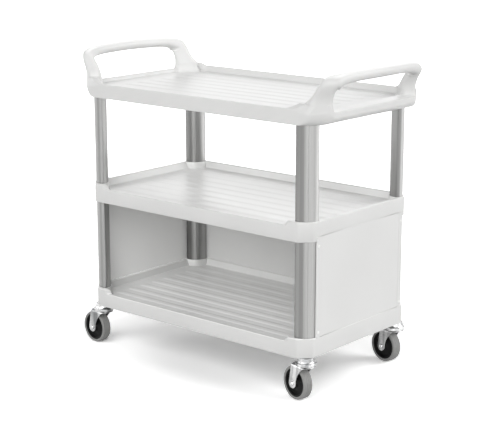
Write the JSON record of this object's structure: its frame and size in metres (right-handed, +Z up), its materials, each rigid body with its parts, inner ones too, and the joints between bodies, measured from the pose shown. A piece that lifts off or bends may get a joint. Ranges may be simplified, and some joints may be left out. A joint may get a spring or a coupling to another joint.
{
  "type": "service cart",
  "caption": "White moulded service cart with tray shelves on oval aluminium uprights, panels round the lower bay, loop handles at both ends and swivel casters.",
  "frame": {"origin": "on the floor under the middle of the cart", "axes": "+X along the cart from the left grip to the right grip, +Y from the open front to the closed back, +Z up"},
  "size_m": [1.032, 0.5105, 0.9535],
  "materials": {
    "white_plastic": "satin moulded white plastic with a fine grain",
    "panel_plastic": "smooth satin off-white sheet",
    "upright_aluminium": "satin drawn aluminium with lengthwise lines",
    "zinc_steel": "bright zinc-plated pressed steel",
    "grey_tyre": "matt mid-grey moulded rubber",
    "black_hub": "matt black moulded plastic",
    "rivet_plastic": "light grey plastic push rivets"
  },
  "bodies": {
    "cart": {"top_shelf": "white_plastic", "middle_shelf": "white_plastic", "bottom_shelf": "white_plastic", "left_handle": "white_plastic", "right_handle": "white_plastic", "left_end_panel": "panel_plastic", "right_end_panel": "panel_plastic", "back_panel": "panel_plastic", "panel_rivets": "rivet_plastic", "upright_screws": "zinc_steel", "handle_screws": "zinc_steel", "stem_nuts": "zinc_steel", "upper_upright_front_left": "upright_aluminium", "lower_upright_front_left": "upright_aluminium", "stem_front_left": "zinc_steel", "cup_front_left": "zinc_steel", "ball_ring_front_left": "zinc_steel", "upper_upright_front_right": "upright_aluminium", "lower_upright_front_right": "upright_aluminium", "stem_front_right": "zinc_steel", "cup_front_right": "zinc_steel", "ball_ring_front_right": "zinc_steel", "upper_upright_rear_left": "upright_aluminium", "lower_upright_rear_left": "upright_aluminium", "stem_rear_left": "zinc_steel", "cup_rear_left": "zinc_steel", "ball_ring_rear_left": "zinc_steel", "upper_upright_rear_right": "upright_aluminium", "lower_upright_rear_right": "upright_aluminium", "stem_rear_right": "zinc_steel", "cup_rear_right": "zinc_steel", "ball_ring_rear_right": "zinc_steel"},
    "swivel_front_left": {"fork_front_left": "zinc_steel", "axle_bolt_front_left": "zinc_steel", "axle_nut_front_left": "zinc_steel", "bush_front_left": "zinc_steel"},
    "wheel_front_left": {"hub_front_left": "black_hub", "tyre_front_left": "grey_tyre"},
    "swivel_front_right": {"fork_front_right": "zinc_steel", "axle_bolt_front_right": "zinc_steel", "axle_nut_front_right": "zinc_steel", "bush_front_right": "zinc_steel"},
    "wheel_front_right": {"hub_front_right": "black_hub", "tyre_front_right": "grey_tyre"},
    "swivel_rear_left": {"fork_rear_left": "zinc_steel", "axle_bolt_rear_left": "zinc_steel", "axle_nut_rear_left": "zinc_steel", "bush_rear_left": "zinc_steel"},
    "wheel_rear_left": {"hub_rear_left": "black_hub", "tyre_rear_left": "grey_tyre"},
    "swivel_rear_right": {"fork_rear_right": "zinc_steel", "axle_bolt_rear_right": "zinc_steel", "axle_nut_rear_right": "zinc_steel", "bush_rear_right": "zinc_steel"},
    "wheel_rear_right": {"hub_rear_right": "black_hub", "tyre_rear_right": "grey_tyre"}
  },
  "joints": [
    {"name": "swivel_front_left", "type": "hinge", "parent": "cart", "child": "swivel_front_left", "pos_m": [-0.41298, -0.22158, 0.137], "axis": [0, 0, 1], "continuous": true},
    {"name": "roll_front_left", "type": "hinge", "parent": "swivel_front_left", "child": "wheel_front_left", "pos_m": [-0.44789, -0.21914, 0.051], "axis": [0.0698, 0.9976, 0], "continuous": true},
    {"name": "swivel_front_right", "type": "hinge", "parent": "cart", "child": "swivel_front_right", "pos_m": [0.41298, -0.22158, 0.137], "axis": [0, 0, 1], "continuous": true},
    {"name": "roll_front_right", "type": "hinge", "parent": "swivel_front_right", "child": "wheel_front_right", "pos_m": [0.37888, -0.21371, 0.051], "axis": [0.225, 0.9744, 0], "continuous": true},
    {"name": "swivel_rear_left", "type": "hinge", "parent": "cart", "child": "swivel_rear_left", "pos_m": [-0.41298, 0.22158, 0.137], "axis": [0, 0, 1], "continuous": true},
    {"name": "roll_rear_left", "type": "hinge", "parent": "swivel_rear_left", "child": "wheel_rear_left", "pos_m": [-0.44772, 0.22584, 0.051], "axis": [0.1219, 0.9925, 0], "continuous": true},
    {"name": "swivel_rear_right", "type": "hinge", "parent": "cart", "child": "swivel_rear_right", "pos_m": [0.41298, 0.22158, 0.137], "axis": [0, 0, 1], "continuous": true},
    {"name": "roll_rear_right", "type": "hinge", "parent": "swivel_rear_right", "child": "wheel_rear_right", "pos_m": [0.37851, 0.22766, 0.051], "axis": [0.1736, 0.9848, 0], "continuous": true}
  ]
}
